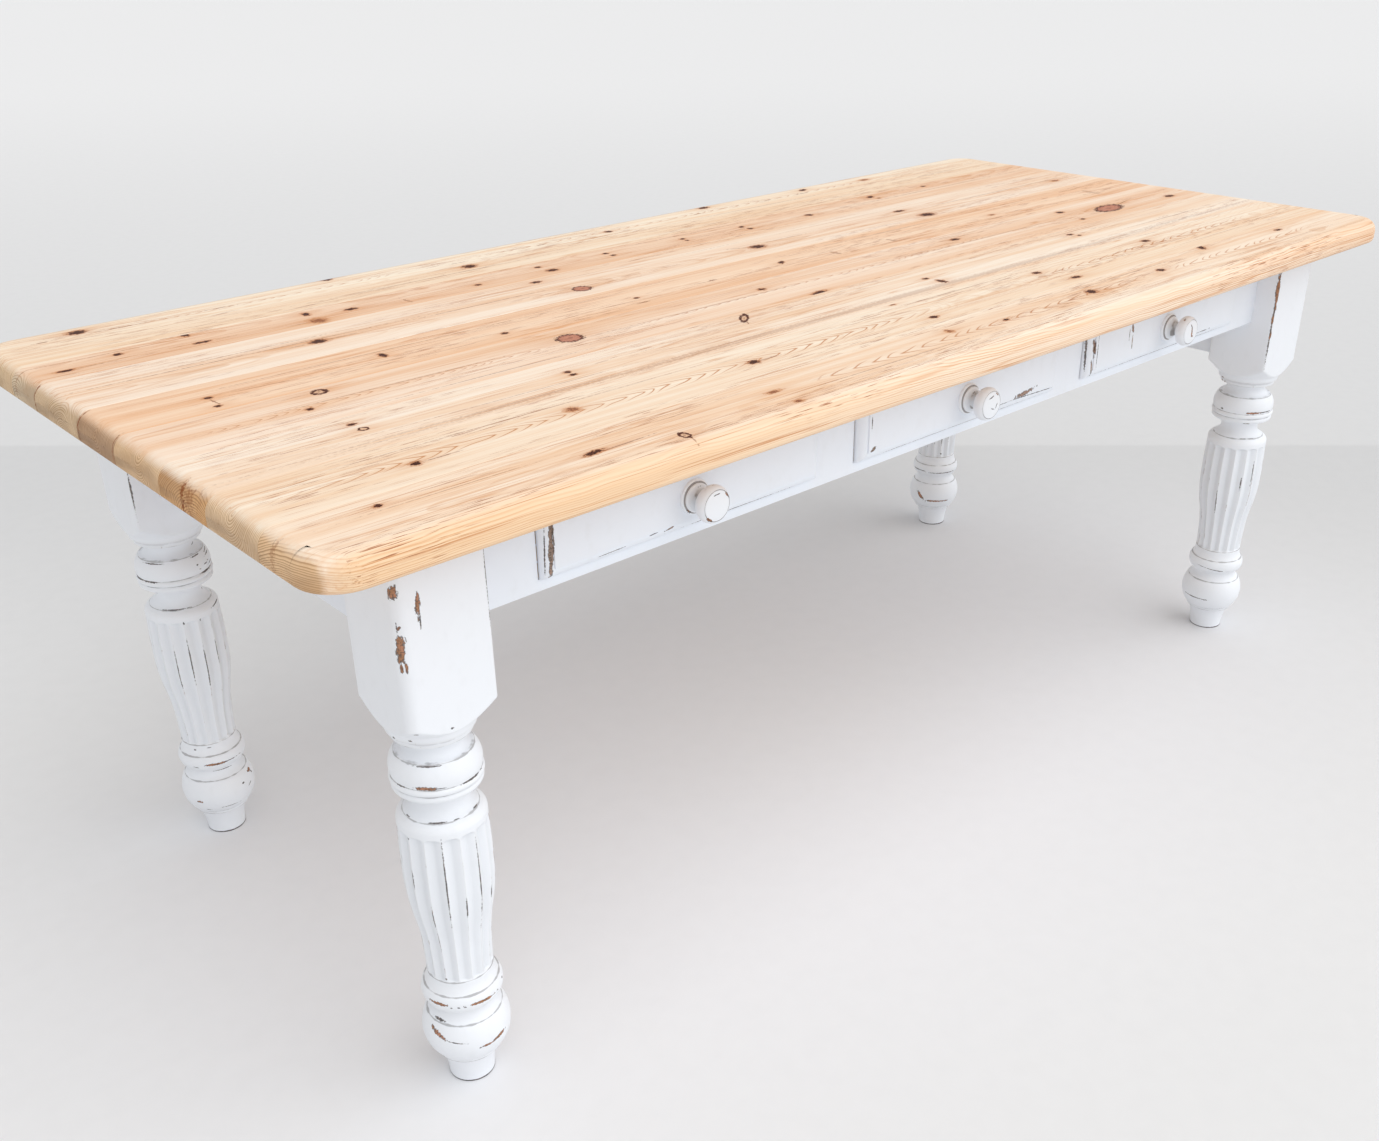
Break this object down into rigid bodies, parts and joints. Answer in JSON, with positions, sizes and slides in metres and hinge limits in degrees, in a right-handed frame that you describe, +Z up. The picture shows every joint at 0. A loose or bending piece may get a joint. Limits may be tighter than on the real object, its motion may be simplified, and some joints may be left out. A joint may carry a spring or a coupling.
{
  "type": "kitchen table with drawers",
  "caption": "Farmhouse kitchen table with a thick board top on turned, fluted legs and a row of knobbed drawers along one long side.",
  "frame": {"origin": "on the floor under the middle of the table", "axes": "+X along the length to the right of someone facing the drawers, +Y from the drawer side to the back, +Z up"},
  "size_m": [2.05, 0.94, 0.78],
  "materials": {
    "pine_top": "waxed pale pine with knots",
    "painted_white": "matt white paint, rubbed through on edges",
    "bare_pine": "unfinished pine",
    "screw_steel": "plain steel"
  },
  "bodies": {
    "table": {"apron_back": "painted_white", "apron_left": "painted_white", "apron_right": "painted_white", "drawer_guide_1": "bare_pine", "drawer_guide_2": "bare_pine", "drawer_guide_3": "bare_pine", "drawer_guide_4": "bare_pine", "drawer_kicker_1": "bare_pine", "drawer_kicker_2": "bare_pine", "drawer_kicker_3": "bare_pine", "drawer_kicker_4": "bare_pine", "drawer_runner_1": "bare_pine", "drawer_runner_2": "bare_pine", "drawer_runner_3": "bare_pine", "drawer_runner_4": "bare_pine", "drawer_stops": "bare_pine", "front_rail_lower": "painted_white", "front_rail_upper": "painted_white", "front_stile_1": "painted_white", "front_stile_2": "painted_white", "front_stile_3": "painted_white", "front_stile_4": "painted_white", "leg_back_left": "painted_white", "leg_back_right": "painted_white", "leg_front_left": "painted_white", "leg_front_right": "painted_white", "top_board_1": "pine_top", "top_board_2": "pine_top", "top_board_3": "pine_top", "top_board_4": "pine_top", "top_board_5": "pine_top", "top_board_6": "pine_top", "top_board_7": "pine_top", "top_board_8": "pine_top", "top_buttons": "bare_pine", "top_screws": "screw_steel"},
    "drawer_1": {"drawer_1_back": "bare_pine", "drawer_1_bottom": "bare_pine", "drawer_1_front": "painted_white", "drawer_1_knob": "painted_white", "drawer_1_knob_screw": "screw_steel", "drawer_1_side_left": "bare_pine", "drawer_1_side_right": "bare_pine"},
    "drawer_2": {"drawer_2_back": "bare_pine", "drawer_2_bottom": "bare_pine", "drawer_2_front": "painted_white", "drawer_2_knob": "painted_white", "drawer_2_knob_screw": "screw_steel", "drawer_2_side_left": "bare_pine", "drawer_2_side_right": "bare_pine"},
    "drawer_3": {"drawer_3_back": "bare_pine", "drawer_3_bottom": "bare_pine", "drawer_3_front": "painted_white", "drawer_3_knob": "painted_white", "drawer_3_knob_screw": "screw_steel", "drawer_3_side_left": "bare_pine", "drawer_3_side_right": "bare_pine"}
  },
  "joints": [
    {"name": "drawer_1_slide", "type": "slide", "parent": "table", "child": "drawer_1", "axis": [0, -1, 0], "range_m": [0, 0.3]},
    {"name": "drawer_2_slide", "type": "slide", "parent": "table", "child": "drawer_2", "axis": [0, -1, 0], "range_m": [0, 0.3]},
    {"name": "drawer_3_slide", "type": "slide", "parent": "table", "child": "drawer_3", "axis": [0, -1, 0], "range_m": [0, 0.3]}
  ]
}
